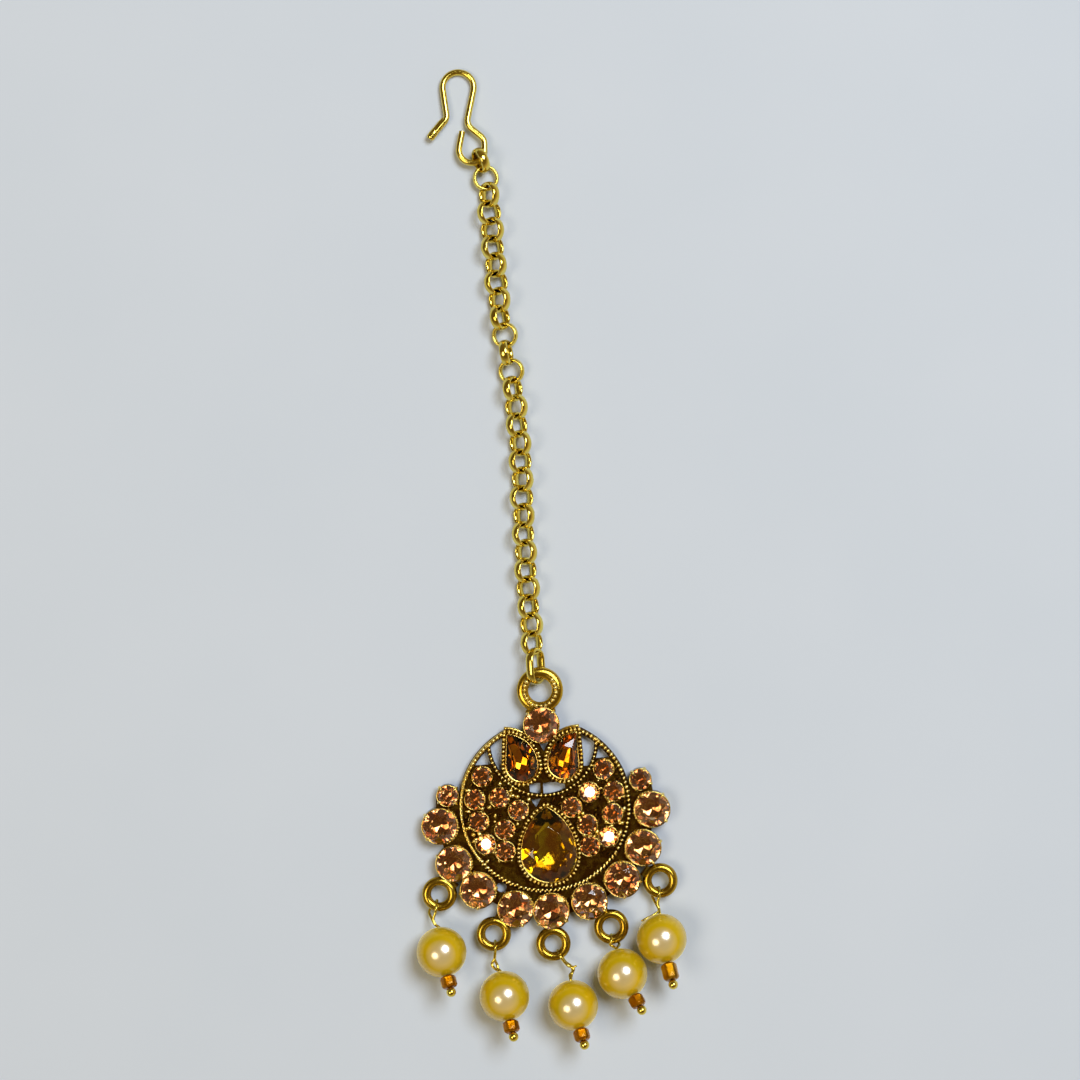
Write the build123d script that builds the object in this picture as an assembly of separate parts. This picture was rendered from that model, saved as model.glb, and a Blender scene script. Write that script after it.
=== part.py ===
"""Maang tikka: a hair hook, a round-link chain and a stone-set pendant with five pearl drops.

It lies flat, face up.  Units are millimetres.  The origin is on the pendant's back face, at the
centre of its round frame, which is also the surface that it lies on.  +Y runs along the pendant's
axis towards the chain and the hook, +X is to the right seen from the face, and +Z is out of the face.
"""
from build123d import *
from math import asin, atan2, cos, degrees, hypot, radians, sin, sqrt, tan
import os

# ---- driving dimensions ---------------------------------------------------------------------
PLATE_BACK = 0.45        # the cups and bezels hold the openwork plate up this far
PLATE_TOP = 1.05         # its face, on which the frame and crescent wires lie
FLOOR = 0.35             # metal left under each stone
FIT = 0.05               # clearance between a stone and its cup
WIRE_HALF = 0.25         # radius of the frame and crescent wires
FRAME_R = 10.1           # centre line of the round frame wire
FRAME_BAND = 0.35        # half width of the plate under the frame wire
CRESCENT_R = 6.5         # centre line of the crescent wire that holds the two small pears
CRESCENT_X = 0.15        # centre of that crescent
CRESCENT_Y = 7.84

BORDER_PLACES = (        # each border stone's angle from straight down, and its radius
    (-83.2, 12.83), (-61.7, 12.87), (-42.3, 12.8), (-19.7, 12.7), (0.0, 12.5),
    (21.8, 12.5), (43.5, 12.71), (64.1, 12.74), (85.4, 12.84),
)
SIDE_PLACES = ((-99.9, 11.76), (102.5, 11.92))   # the two smaller stones that end the border
BORDER_PLATE_R = 13.1    # edge of the plate between the border stones' cups
BORDER_PLATE_TOP = 2.3   # where that plate ends, beside the smaller stones
GAP_AT = (-31.8, 11.0)   # the one opening in it: angle and radius of its middle
GAP_R = 0.6
TIP_HOLE = ((-1.68, 1.0), (-0.42, 1.0), (-1.05, 0.0))   # small hole over the large pear's tip
NECK_HOLE = ((-0.35, 7.75), (0.9, 7.75), (0.28, 6.7))    # and the one under the top stone
LENS_HOLE = dict(left=-1.7, right=2.55, top=2.9, strut=-0.25, strut_width=0.35)
LOOP_RING_R = 16.4       # circle on which the drop loops lie

LOOP_R = 1.55            # drop loop: centre line and wire radius
LOOP_WIRE = 0.55
LOOP_Z = 1.5
PEARL_R = 3.0
DROP_WIRE = 0.17
EYE_R = 0.79             # eye of a drop wire, round the loop's wire
EYE_WIRE = 0.2
WIRE_BEND = 8.0          # the wire's easy bend inside a pearl
TAIL_RISE = 0.42         # how steeply a drop's tail climbs
BALL_R = 0.58
BALL_SEAT = 0.56         # the ball sinks a little way into the bead's hole
SEED_R = 0.97
BORE = 0.26              # hole through pearls and seed beads

TOP_STONE_X = 0.17
TOP_STONE_Y = 9.86
TOP_RING = dict(x=0.25, y=14.05, z=1.68, r=2.1, half_width=0.69, half_height=0.5)

LINK_WIRE = 0.25         # chain link: wire radius and centre line radius
LINK_R = 1.325
CHAIN_R = 1.2            # the chain's tube
CHAIN_Z = 1.24

HOOK_WIRE = 0.38
HOOK_RISE = 0.7          # the link under its eye holds that end of the hook up

# ---- stones -----------------------------------------------------------------------------------
INNER = (                # name and place of one of each mirrored pair
    ("a", 7.32, 4.08), ("b", 5.40, 1.44), ("c", 8.35, 1.38), ("d", 3.20, -0.24),
    ("e", 8.05, -1.30), ("f", 4.95, -2.45), ("g", 7.38, -4.05), ("h", 5.08, -5.05),
)
INNER_CUT = dict(radius=1.15, depth=0.9, crown=0.4)
BORDER_CUT = dict(radius=2.05, depth=1.55, crown=0.65)
SIDE_CUT = dict(radius=1.22, depth=1.0, crown=0.42)
GIRDLE = 0.12            # height of the upright band between crown and pavilion
TABLE = 0.58             # table's share of the width
PAVILION = 0.4           # share of a pear stone's width at its flat bottom
WALL = {"border": 0.15, "side": 0.14, "inner": 0.16}   # cup's outside beyond the stone

# pear stones: middle of the round end, the tip from there, and the bezel's centre line radius
BIG_PEAR = dict(center=(0.15, -5.73), tip=(0.0, 6.13), radius=3.66, depth=1.2, crown=0.85)
SMALL_PEARS = dict(
    left=dict(center=(-2.47, 5.1), tip=(-1.9, 4.2), radius=2.27, depth=0.95, crown=0.6, straight=-1),
    right=dict(center=(2.54, 5.08), tip=(2.12, 3.98), radius=2.2, depth=0.95, crown=0.6, straight=1),
)
BEZEL_OUT = 0.22         # a bezel's outside and its stone's edge, from the bezel's centre line
BEZEL_IN = 0.36
PEAR_MARGIN = 0.2        # plate round a small pear, beyond the bezel's centre line

# ---- drops: the loop's angle, the pearl's centre, which way the tail leans, seed length ---------
DROPS = (
    (-54.0, (-13.39, -16.40), 12.0, 1.4),
    (-25.5, (-6.21, -22.12), 10.5, 1.4),
    (0.0, (1.91, -23.69), 13.5, 1.35),
    (25.5, (8.00, -20.28), 26.0, 1.4),
    (54.0, (12.95, -16.42), 10.5, 2.1),
)
CUT_END = (              # the cut end of the last drop's wire: its path and its radius
    (13.11, -13.08, 2.04), (12.0, -13.33, 2.2), (10.8, -13.93, 2.4),
)
CUT_END_R = 0.11
CUT_END_BEND = 0.5

# ---- hook: corners of its bent wire (x, y, bend radius), seen from above -----------------------
HOOK_START = (-8.80, 81.07)
HOOK_CORNERS = (
    (-6.71, 83.31, 1.0),     # flare of the cut tip
    (-7.20, 88.96, 1.84),    # U bend, first corner
    (-2.76, 88.67, 1.84),    # U bend, second corner
    (-4.42, 82.44, 1.3),     # waist above the eye
    (-2.36, 80.51, 1.3),     # eye
    (-2.56, 77.62, 1.35),
    (-5.93, 77.84, 1.6),
)
HOOK_END = (-4.98, 81.6)

# ---- chain: the route of its tube, from the hook's link to the pendant's link -------------------
CHAIN_ROUTE = (
    (-2.40, 76.2), (-2.12, 68.0), (-1.78, 59.6), (-0.72, 50.6),
    (-0.32, 42.4), (-0.52, 34.0), (-0.50, 26.2), (-0.28, 19.5),
)
HOOK_LINK = dict(x=-2.95, y=77.9, z=1.56, roll=-75, heading=21.5)
PENDANT_LINK = dict(x=-0.10, z=1.55, roll=62, low=14.95, high=18.95)


def save(part, name):
    """Write one piece as its own file."""
    part.label = name
    export_step(part, f"parts/{name}.step")


def polar(radius, angle):
    """Point at an angle from straight down, positive to the right."""
    return radius * sin(radians(angle)), -radius * cos(radians(angle))


def disc(x, y, radius, low, high):
    return Pos(x, y, low) * extrude(Circle(radius), high - low)


# ---- stones -----------------------------------------------------------------------------------
def round_stone(x, y, radius, depth, crown):
    """A brilliant's profile turned about its own axis: culet, girdle, crown and table."""
    base = FLOOR + FIT
    profile = Polyline(
        (0, base), (radius, base + depth), (radius, base + depth + GIRDLE),
        (radius * TABLE, base + depth + GIRDLE + crown), (0, base + depth + GIRDLE + crown),
        close=True,
    )
    return Pos(x, y, 0) * revolve(Plane.XZ * make_face(profile), Axis.Z)


def pear_outline(shape):
    """Teardrop about the middle of its round end: a half circle, then a tangent arc up each side
    to the tip.  The straight side, -1 for the left or 1 for the right, has a line in its place."""
    radius = shape["radius"]
    tip_x, tip_y = shape["tip"]
    edges = [ThreePointArc((-radius, 0), (0, -radius), (radius, 0))]
    for side in (-1, 1):
        wide = (side * radius, 0)
        if side == shape.get("straight"):
            edges.append(Line(wide, (tip_x, tip_y)))
            continue
        reach = side * tip_x
        arc_r = (hypot(tip_x, tip_y) ** 2 + radius**2 - 2 * radius * reach) / (2 * (radius - reach))
        arc_x = -side * (arc_r - radius)
        half = atan2(tip_y, side * (tip_x - arc_x)) / 2
        middle = (arc_x + side * arc_r * cos(half), arc_r * sin(half))
        edges.append(ThreePointArc(wide, middle, (tip_x, tip_y)))
    return make_face(edges)


def pear_stone(shape):
    """Pear-cut stone: a pavilion, an upright girdle and a crown up to a smaller table."""
    girdle = offset(pear_outline(shape), -BEZEL_IN)
    low = FLOOR + FIT
    wide = low + shape["depth"]
    top = wide + GIRDLE + shape["crown"]
    levels = ((low, PAVILION), (wide, 1.0), (wide + GIRDLE, 1.0), (top, TABLE))
    layers = [Pos(*shape["center"], height) * scale(girdle, share) for height, share in levels]
    stone = Part()
    for lower, upper in zip(layers, layers[1:]):
        stone += loft([lower, upper], ruled=True)
    return stone


# ---- pendant ----------------------------------------------------------------------------------
def pear_tip(side):
    """Tip of a small pear's bezel."""
    shape = SMALL_PEARS[side]
    return tuple(c + t for c, t in zip(shape["center"], shape["tip"]))


def crescent_end(side):
    """Where the crescent wire meets the frame wire, at the left (-1) or the right (1): its angle
    about the crescent's centre."""
    apart = hypot(CRESCENT_X, CRESCENT_Y)
    along = (FRAME_R**2 - CRESCENT_R**2 + apart**2) / (2 * apart)
    off = side * sqrt(FRAME_R**2 - along**2)
    x = (along * CRESCENT_X + off * CRESCENT_Y) / apart
    y = (along * CRESCENT_Y - off * CRESCENT_X) / apart
    return degrees(atan2(y - CRESCENT_Y, x - CRESCENT_X))


def rectangle(left, right, low, high):
    """A rectangle between two widths and two heights."""
    return Pos((left + right) / 2, (low + high) / 2) * Rectangle(right - left, high - low)


def triangle(corners):
    return make_face(Polyline(*corners, close=True))


def plate_sketch(small_pears):
    """The openwork plate: a round frame with a crescent window that holds the small pears."""
    frame_disc = Circle(FRAME_R + FRAME_BAND)
    inside = Circle(FRAME_R - FRAME_BAND)
    window = Pos(CRESCENT_X, CRESCENT_Y) * Circle(CRESCENT_R - WIRE_HALF)
    crescent_disc = Pos(CRESCENT_X, CRESCENT_Y) * Circle(CRESCENT_R + WIRE_HALF)
    neck_left, neck_right = pear_tip("left")[0] + 0.15, pear_tip("right")[0] - 0.15

    plate = frame_disc - window
    band = (frame_disc - inside) - rectangle(neck_left, neck_right, FRAME_R / 2, FRAME_R * 1.5)
    corners = rectangle(-6, 6, 1.0, 4.6) & window
    lens = rectangle(LENS_HOLE["left"], LENS_HOLE["right"], 0, LENS_HOLE["top"])
    strut = Pos(LENS_HOLE["strut"], LENS_HOLE["top"] / 2) * Rectangle(LENS_HOLE["strut_width"], 4)
    throat = rectangle(-1.2, 1.4, LENS_HOLE["top"], 8.5)       # between them, up to the top stone
    border = (Circle(BORDER_PLATE_R) - inside) & rectangle(-20, 20, -20, BORDER_PLATE_TOP)
    gap = Pos(*polar(GAP_AT[1], GAP_AT[0])) * Circle(GAP_R)
    plate = plate + band + (corners - (lens - strut)) + throat + (border - gap)
    for face in small_pears:
        plate += offset(face, PEAR_MARGIN)

    side_windows = (inside & rectangle(-15, 15, 5.45, 15)) - crescent_disc
    return plate - side_windows - triangle(TIP_HOLE) - triangle(NECK_HOLE)


def cup(x, y, cut, wall):
    """Outside of a stone's cup, from the back face up to just over the girdle."""
    top = FLOOR + FIT + cut["depth"] + GIRDLE * 0.5
    return disc(x, y, cut["radius"] + wall, 0, top)


def pocket(x, y, cut):
    return disc(x, y, cut["radius"] + FIT, FLOOR, 6)


def bezel(outline, depth):
    top = FLOOR + FIT + depth + GIRDLE * 0.5
    return extrude(offset(outline, BEZEL_OUT), top)


def ring_section(x, y, z, r, half_width, half_height):
    """A closed ring of flattened round wire lying flat."""
    section = Plane.XZ * Pos(r, 0) * Ellipse(half_width, half_height)
    return Pos(x, y, z) * revolve(section, Axis.Z)


def hanging_ring():
    """The ring that hangs on the chain, open where the top stone's cup stands, and its flange."""
    cup_r = BORDER_CUT["radius"] + WALL["border"]
    opening = disc(TOP_STONE_X, TOP_STONE_Y, cup_r + 0.15, 0, 3)
    flange = disc(TOP_STONE_X, TOP_STONE_Y, cup_r + 0.35, 1.15, 1.95)
    upper = Pos(TOP_STONE_X, TOP_STONE_Y + 3.0, 1.5) * Box(3.6, 3.0, 2)
    return (ring_section(**TOP_RING) - opening) + (flange & upper)


def wire_arc(x, y, radius, start, end):
    """Round wire along part of a circle on the plate; angles from +X, anticlockwise."""
    section = Plane.XZ * Pos(radius, 0) * Circle(WIRE_HALF)
    turned = revolve(section, Axis.Z, revolution_arc=end - start)
    return Pos(x, y, PLATE_TOP) * Rot(0, 0, start) * turned


def pendant_casting(stone_places, pears):
    """Everything that is soldered or cast together, as one solid."""
    shoulders = [degrees(atan2(y, x)) for x, y in (pear_tip("left"), pear_tip("right"))]
    small = [outline for outline, shape in pears if "straight" in shape]
    metal = Pos(0, 0, PLATE_BACK) * extrude(plate_sketch(small), PLATE_TOP - PLATE_BACK)
    metal += wire_arc(0, 0, FRAME_R, shoulders[0], 360 + shoulders[1])
    ends = crescent_end(-1) % 360, crescent_end(1) + 360
    metal += wire_arc(CRESCENT_X, CRESCENT_Y, CRESCENT_R, *ends)
    for outline, shape in pears:
        metal += bezel(outline, shape["depth"])
    for _, x, y, cut, wall in stone_places:
        metal += cup(x, y, cut, wall)

    metal += hanging_ring()
    for angle, *_ in DROPS:
        x, y = polar(LOOP_RING_R, angle)
        metal += Pos(x, y, LOOP_Z) * Torus(LOOP_R, LOOP_WIRE)
        lx, ly = polar(LOOP_RING_R - LOOP_R - 0.3, angle)
        metal += Pos(lx, ly, 1.2) * Rot(0, 0, angle) * Box(1.3, 1.1, 1.2)

    for _, x, y, cut, _ in stone_places:
        metal -= pocket(x, y, cut)
    for outline, _ in pears:
        metal -= Pos(0, 0, FLOOR) * extrude(offset(outline, FIT - BEZEL_IN), 6)
    return metal


# ---- drops ------------------------------------------------------------------------------------
def round_wire(points, bend, radius):
    """Round wire along straight runs with the same bend radius at each corner."""
    path = FilletPolyline(*points, radius=bend) if len(points) > 2 else Line(*points)
    return sweep(Plane(origin=path @ 0, z_dir=path % 0) * Circle(radius), path=path)


def drop(angle, pearl_xy, lean, seed_length):
    """One drop: its wire from the loop through the pearl, the pearl and the seed bead."""
    loop_x, loop_y = polar(LOOP_RING_R, angle)
    toward = Vector(pearl_xy[0] - loop_x, pearl_xy[1] - loop_y, 0).normalized()
    eye = Vector(loop_x, loop_y, LOOP_Z) + toward * LOOP_R
    pearl = Vector(pearl_xy[0], pearl_xy[1], PEARL_R)
    head_dir = (pearl - eye).normalized()
    tail_x, tail_y = polar(sqrt(1 - TAIL_RISE**2), lean)
    tail_dir = Vector(tail_x, tail_y, TAIL_RISE)

    seed_at = pearl + tail_dir * (PEARL_R + 0.1 + seed_length / 2)
    ball_at = seed_at + tail_dir * (seed_length / 2 + BALL_SEAT)
    eye_plane = Plane(origin=eye, x_dir=toward, z_dir=toward.cross(Vector(0, 0, 1)))
    wire = eye_plane * Torus(EYE_R, EYE_WIRE)
    wire += round_wire([eye + head_dir * EYE_R, pearl, ball_at], WIRE_BEND, DROP_WIRE)
    wire += Pos(*ball_at) * Sphere(BALL_R)

    reach = PEARL_R + 1
    bore = round_wire([pearl - head_dir * reach, pearl, pearl + tail_dir * reach], WIRE_BEND, BORE)
    bead = Pos(*pearl) * Sphere(PEARL_R) - bore

    tube = Cylinder(SEED_R, seed_length)
    seed = fillet(tube.edges(), min(0.45, seed_length * 0.3)) - Cylinder(BORE, seed_length + 1)
    return wire, bead, Plane(origin=seed_at, z_dir=tail_dir) * seed


def cut_wire_end():
    """The short cut end that sticks out beside the last drop's pearl, as part of its wire."""
    return round_wire(CUT_END, CUT_END_BEND, CUT_END_R)


# ---- chain and hook -----------------------------------------------------------------------------
def chain_tube():
    """The middle links' outer shape: straight runs joined by arcs as large as the runs allow."""
    points = [Vector(x, y, CHAIN_Z) for x, y in CHAIN_ROUTE]
    radii = []
    for before, corner, after in zip(points, points[1:], points[2:]):
        first, second = corner - before, after - corner
        half_turn = radians(first.get_angle(second)) / 2
        radii.append(0.45 * min(first.length, second.length) / tan(half_turn))
    print("chain radii", [round(radius, 1) for radius in radii])
    path = FilletPolyline(*points, radius=radii)
    section = Plane(origin=path @ 0, z_dir=path % 0) * Circle(CHAIN_R)
    tube = sweep(section, path=path)
    expected = section.area * path.length
    print(f"chain length {path.length:.2f}, volume {tube.volume:.2f}, expected {expected:.2f}")
    return tube


def hook_link():
    """Round end link, nearly upright, that holds the hook's eye."""
    place = Pos(HOOK_LINK["x"], HOOK_LINK["y"], HOOK_LINK["z"])
    turn = Rot(0, 0, HOOK_LINK["heading"]) * Rot(0, HOOK_LINK["roll"], 0)
    return place * turn * Torus(LINK_R, LINK_WIRE)


def pendant_link():
    """Slightly long end link through the pendant's top ring, rolled up on one side."""
    half = (PENDANT_LINK["high"] - PENDANT_LINK["low"]) / 2 - LINK_R
    top = ThreePointArc((LINK_R, half), (0, half + LINK_R), (-LINK_R, half))
    bottom = ThreePointArc((-LINK_R, -half), (0, -half - LINK_R), (LINK_R, -half))
    sides = [Line((-LINK_R, half), (-LINK_R, -half)), Line((LINK_R, -half), (LINK_R, half))]
    path = Wire([top, sides[0], bottom, sides[1]])
    link = sweep(Plane(origin=path @ 0, z_dir=path % 0) * Circle(LINK_WIRE), path=path)
    middle = (PENDANT_LINK["high"] + PENDANT_LINK["low"]) / 2
    return Pos(PENDANT_LINK["x"], middle, PENDANT_LINK["z"]) * Rot(0, PENDANT_LINK["roll"], 0) * link


def hook():
    """The bent wire, then tipped about its far bend so that its eye clears the link below."""
    points = [HOOK_START] + [corner[:2] for corner in HOOK_CORNERS] + [HOOK_END]
    path = FilletPolyline(*points, radius=[corner[2] for corner in HOOK_CORNERS])
    wire = sweep(Plane(origin=path @ 0, z_dir=path % 0) * Circle(HOOK_WIRE), path=path)
    far_y = max(y for _, y, _ in HOOK_CORNERS)
    near_y = min(y for _, y, _ in HOOK_CORNERS)
    tip_angle = degrees(asin(HOOK_RISE / (far_y - near_y)))
    return Pos(0, far_y, HOOK_WIRE) * Rot(-tip_angle, 0, 0) * Pos(0, -far_y, 0) * wire


def main():
    os.makedirs("parts", exist_ok=True)
    places = [("stone_top", TOP_STONE_X, TOP_STONE_Y, BORDER_CUT, WALL["border"])]
    for number, (angle, radius) in enumerate(BORDER_PLACES, 1):
        x, y = polar(radius, angle)
        places.append((f"stone_border_{number}", x, y, BORDER_CUT, WALL["border"]))
    for side, (angle, radius) in zip(("left", "right"), SIDE_PLACES):
        x, y = polar(radius, angle)
        places.append((f"stone_side_{side}", x, y, SIDE_CUT, WALL["side"]))
    for name, x, y in INNER:
        places.append((f"stone_inner_{name}_right", x, y, INNER_CUT, WALL["inner"]))
        places.append((f"stone_inner_{name}_left", -x, y, INNER_CUT, WALL["inner"]))
    for name, x, y, cut, _ in places:
        save(round_stone(x, y, **cut), name)

    pears = []
    for side, shape in {"large": BIG_PEAR, **SMALL_PEARS}.items():
        save(pear_stone(shape), f"stone_pear_{side}")
        pears.append((Pos(*shape["center"]) * pear_outline(shape), shape))
    save(pendant_casting(places, pears), "pendant_casting")

    for number, (angle, pearl_xy, lean, seed_length) in enumerate(DROPS, 1):
        wire, pearl, seed = drop(angle, pearl_xy, lean, seed_length)
        if number == len(DROPS):
            wire += cut_wire_end()
        save(wire, f"drop_wire_{number}")
        save(pearl, f"pearl_{number}")
        save(seed, f"seed_bead_{number}")

    save(chain_tube(), "chain")
    save(hook_link(), "chain_link_hook")
    save(pendant_link(), "chain_link_pendant")
    save(hook(), "hair_hook")


main()
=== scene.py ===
"""Looks of the maang tikka: a hair hook, a round-link chain and a cast, stone-set pendant with five
pearl drops, lying face up on a pale floor.

Shapes are worked out in millimetres in the part's own frame (origin on the pendant's back face at
the centre of its round frame, +Y towards the hook, +Z out of the face), and become metres when a
piece is made.  The casting and the hook are the CAD nodes themselves, with materials from here.
The stones, milgrain, rims, claws, granules, links, drop wires, pearls and seed beads are modelled
here, in place of the CAD's plainer ones or on top of them.
"""

from math import atan2, cos, degrees, hypot, pi, radians, sin, sqrt, tan

import bmesh
import bpy
import numpy as np
from mathutils import Matrix, Vector

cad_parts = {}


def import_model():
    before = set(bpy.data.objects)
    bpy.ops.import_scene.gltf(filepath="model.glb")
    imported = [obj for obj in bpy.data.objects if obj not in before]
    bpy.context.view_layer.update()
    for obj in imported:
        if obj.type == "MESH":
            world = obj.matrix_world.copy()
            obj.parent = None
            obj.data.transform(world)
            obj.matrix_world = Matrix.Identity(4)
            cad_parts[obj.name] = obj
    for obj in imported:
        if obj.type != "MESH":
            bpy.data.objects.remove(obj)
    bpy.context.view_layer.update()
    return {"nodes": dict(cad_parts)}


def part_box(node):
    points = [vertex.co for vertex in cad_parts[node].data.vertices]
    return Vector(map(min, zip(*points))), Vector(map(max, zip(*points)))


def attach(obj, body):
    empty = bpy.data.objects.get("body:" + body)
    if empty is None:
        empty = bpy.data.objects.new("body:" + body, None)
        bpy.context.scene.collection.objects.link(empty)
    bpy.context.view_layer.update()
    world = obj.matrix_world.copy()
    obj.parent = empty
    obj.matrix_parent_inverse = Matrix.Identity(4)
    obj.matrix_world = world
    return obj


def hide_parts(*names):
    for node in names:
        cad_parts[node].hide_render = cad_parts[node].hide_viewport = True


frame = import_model()

MM = 0.001
rng = np.random.default_rng(11)

# ---- the casting's own sizes, in millimetres --------------------------------------------------
PLATE_TOP = 1.05
FRAME_R = 10.1                     # round frame wire
CRESCENT_R, CRESCENT_X, CRESCENT_Y = 6.5, 0.15, 7.84   # crescent wire and its centre
WIRE_CREST = PLATE_TOP + 0.16      # height of the milgrain on both wires
CUP_WALL = {"top": 0.15, "border": 0.15, "side": 0.14, "inner": 0.16}
BEZEL_GAP = 0.36                   # from a pear stone's edge out to its bezel's centre line
BEZEL_TOP = {"large": 1.66, "left": 1.41, "right": 1.41}
BEZEL_TIP = {"large": (0.0, 6.13), "left": (-1.9, 4.2), "right": (2.12, 3.98)}   # from round end
RING = dict(x=0.25, y=14.05, z=1.68, r=2.1, half_height=0.5)
TIP_HOLE, TIP_HOLE_R = (-1.05, 0.65), 0.75   # hole over the large pear's tip, with its margin
SHADE_OUT_TO = (14.1, 14.7)         # the painted shade and patina over the middle fade out over these distances from the centre
SHADE_UP_TO = (11.4, 11.8)          # and over this stretch of Y, under the hanging ring


# ---- small mesh kit ---------------------------------------------------------------------------
def placed(name, data):
    """A new object in the scene."""
    made = bpy.data.objects.new(name, data)
    bpy.context.scene.collection.objects.link(made)
    return made


class Shape:
    """Points and faces, gathered into one joined mesh.  A face's kind is the place of its material
    in the piece's list.  Each part's tone, from 0 to 1, stays on the mesh as a point attribute."""

    def __init__(self):
        self.points, self.faces, self.kinds, self.tones = [], [], [], []
        self.count = 0

    def add(self, points, faces, kind=0, tone=0.5):
        points = np.asarray(points, float)
        self.points.append(points)
        self.faces += [[int(i) + self.count for i in face] for face in faces]
        self.kinds += list(np.broadcast_to(kind, len(faces)))
        self.tones.append(np.full(len(points), tone))
        self.count += len(points)

    def piece(self, name, materials, slot, replaces=(), smooth=True):
        """Makes the mesh a piece of the object, in place of the CAD nodes that it replaces."""
        mesh = bpy.data.meshes.new(name)
        mesh.from_pydata((np.concatenate(self.points) * MM).tolist(), [], self.faces)
        for material in materials:
            mesh.materials.append(material)
        mesh.polygons.foreach_set("material_index", np.array(self.kinds, np.int32))
        mesh.polygons.foreach_set("use_smooth", np.full(len(self.faces), smooth))
        tone = mesh.attributes.new("tone", "FLOAT", "POINT")
        tone.data.foreach_set("value", np.concatenate(self.tones).astype(np.float32))
        mesh.update()
        made = placed(name, mesh)
        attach(made, "root")
        if replaces:
            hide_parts(*replaces)


def icosphere(level):
    """Points and faces of a ball of radius 1."""
    bm = bmesh.new()
    bmesh.ops.create_icosphere(bm, subdivisions=level, radius=1.0)
    points = np.array([vert.co[:] for vert in bm.verts])
    faces = [[vert.index for vert in face.verts] for face in bm.faces]
    bm.free()
    return points, faces


BALL = icosphere(3)
FINE_BALL = icosphere(4)


def lattice(rows, columns, close_rows):
    """Faces of a sheet of points in rows, whose columns close into a ring."""
    last = rows if close_rows else rows - 1
    i, j = np.meshgrid(np.arange(last), np.arange(columns), indexing="ij")
    below, above = i * columns, (i + 1) % rows * columns
    beside = (j + 1) % columns
    return np.stack([below + j, below + beside, above + beside, above + j], -1).reshape(-1, 4)


def tube(path, radius, up=(0, 0, 1), sides=12, closed=False, squash=1.0):
    """Round wire along a path.  Its radius may change, and squash scales it along up."""
    path = np.asarray(path, float)
    ahead = np.roll(path, -1, 0) - np.roll(path, 1, 0) if closed else np.gradient(path, axis=0)
    ahead /= np.linalg.norm(ahead, axis=1)[:, None]
    side = np.cross(up, ahead)
    side /= np.linalg.norm(side, axis=1)[:, None]
    rise = np.cross(ahead, side)
    turn = np.arange(sides) / sides * 2 * pi
    radius = np.broadcast_to(radius, len(path))[:, None, None]
    ring = side[:, None] * np.cos(turn)[None, :, None]
    ring = ring + rise[:, None] * np.sin(turn)[None, :, None] * squash
    points = (path[:, None] + ring * radius).reshape(-1, 3)
    faces = lattice(len(path), sides, closed).tolist()
    if not closed:
        first = list(range(sides))
        faces += [first[::-1], [len(points) - sides + k for k in first]]
    return points, faces


def lathe(profile, sides):
    """A closed profile of (radius, height), turned about Z."""
    profile = np.asarray(profile, float)
    turn = np.arange(sides) / sides * 2 * pi
    x = profile[:, :1] * np.cos(turn)
    y = profile[:, :1] * np.sin(turn)
    z = np.repeat(profile[:, 1:], sides, axis=1)
    points = np.stack([x, y, z], -1).reshape(-1, 3)
    return points, lattice(len(profile), sides, True).tolist()


def circle(radius, x=0.0, y=0.0, z=0.0, steps=96, start=0.0, end=360.0):
    """Points on a level circle; a full turn leaves out its last point."""
    turn = np.radians(np.linspace(start, end, steps, endpoint=end - start < 360))
    return np.stack([x + radius * np.cos(turn), y + radius * np.sin(turn), np.full(steps, z)], -1)


def evenly(path, spacing, closed=False):
    """Points at even steps along a path, and the direction there."""
    path = np.asarray(path, float)
    if closed:
        path = np.vstack([path, path[:1]])
    steps = np.linalg.norm(np.diff(path, axis=0), axis=1)
    along = np.concatenate([[0], np.cumsum(steps)])
    count = max(2, round(along[-1] / spacing))
    at = np.linspace(0, along[-1], count, endpoint=not closed)

    def place(distance):
        return np.stack([np.interp(distance, along, path[:, k]) for k in range(3)], -1)

    points = place(at)
    ahead = place(at + 0.01) - points
    at_end = np.linalg.norm(ahead, axis=1) < 1e-9
    ahead[at_end] = path[-1] - path[-2]
    return points, ahead / np.linalg.norm(ahead, axis=1)[:, None]


def smooth(points, steps=8):
    """Soft curve through a few points."""
    points = np.asarray(points, float)
    ends = np.vstack([2 * points[0] - points[1], points, 2 * points[-1] - points[-2]])
    share = np.linspace(0, 1, steps, endpoint=False)[:, None]
    runs = []
    for a, b, c, d in zip(ends, ends[1:], ends[2:], ends[3:]):
        bend = (2 * a - 5 * b + 4 * c - d) * share**2 + (3 * b - a - 3 * c + d) * share**3
        runs.append(b + 0.5 * ((c - a) * share + bend))
    return np.vstack(runs + [points[-1:]])


def turn_to(direction):
    """Rotation that takes +Z to a direction."""
    return np.array(Vector((0, 0, 1)).rotation_difference(Vector(direction)).to_matrix())


def box(node):
    """Lowest and highest corner of a CAD node, in millimetres."""
    low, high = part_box(node)
    return np.array(low) / MM, np.array(high) / MM


def middle(node):
    """Middle of a CAD node's box, in millimetres."""
    low, high = box(node)
    return (low + high) / 2


# ---- shader kit -------------------------------------------------------------------------------
def plug(tree, socket, value):
    """Gives a node's input its value: a number, a vector, a colour or another node's output."""
    if isinstance(value, bpy.types.NodeSocket):
        tree.links.new(value, socket)
    elif socket.type == "RGBA":
        socket.default_value = (*value, 1.0)
    else:
        socket.default_value = value


def feed(tree, node, **inputs):
    """Gives values to a node's inputs by name, with _ for a space."""
    for key, value in inputs.items():
        plug(tree, node.inputs[key.replace("_", " ")], value)


def add(tree, kind, settings=None, **inputs):
    """Adds a shader node with its settings and inputs."""
    made = tree.nodes.new("ShaderNode" + kind)
    for key, value in (settings or {}).items():
        setattr(made, key, value)
    feed(tree, made, **inputs)
    return made


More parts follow.
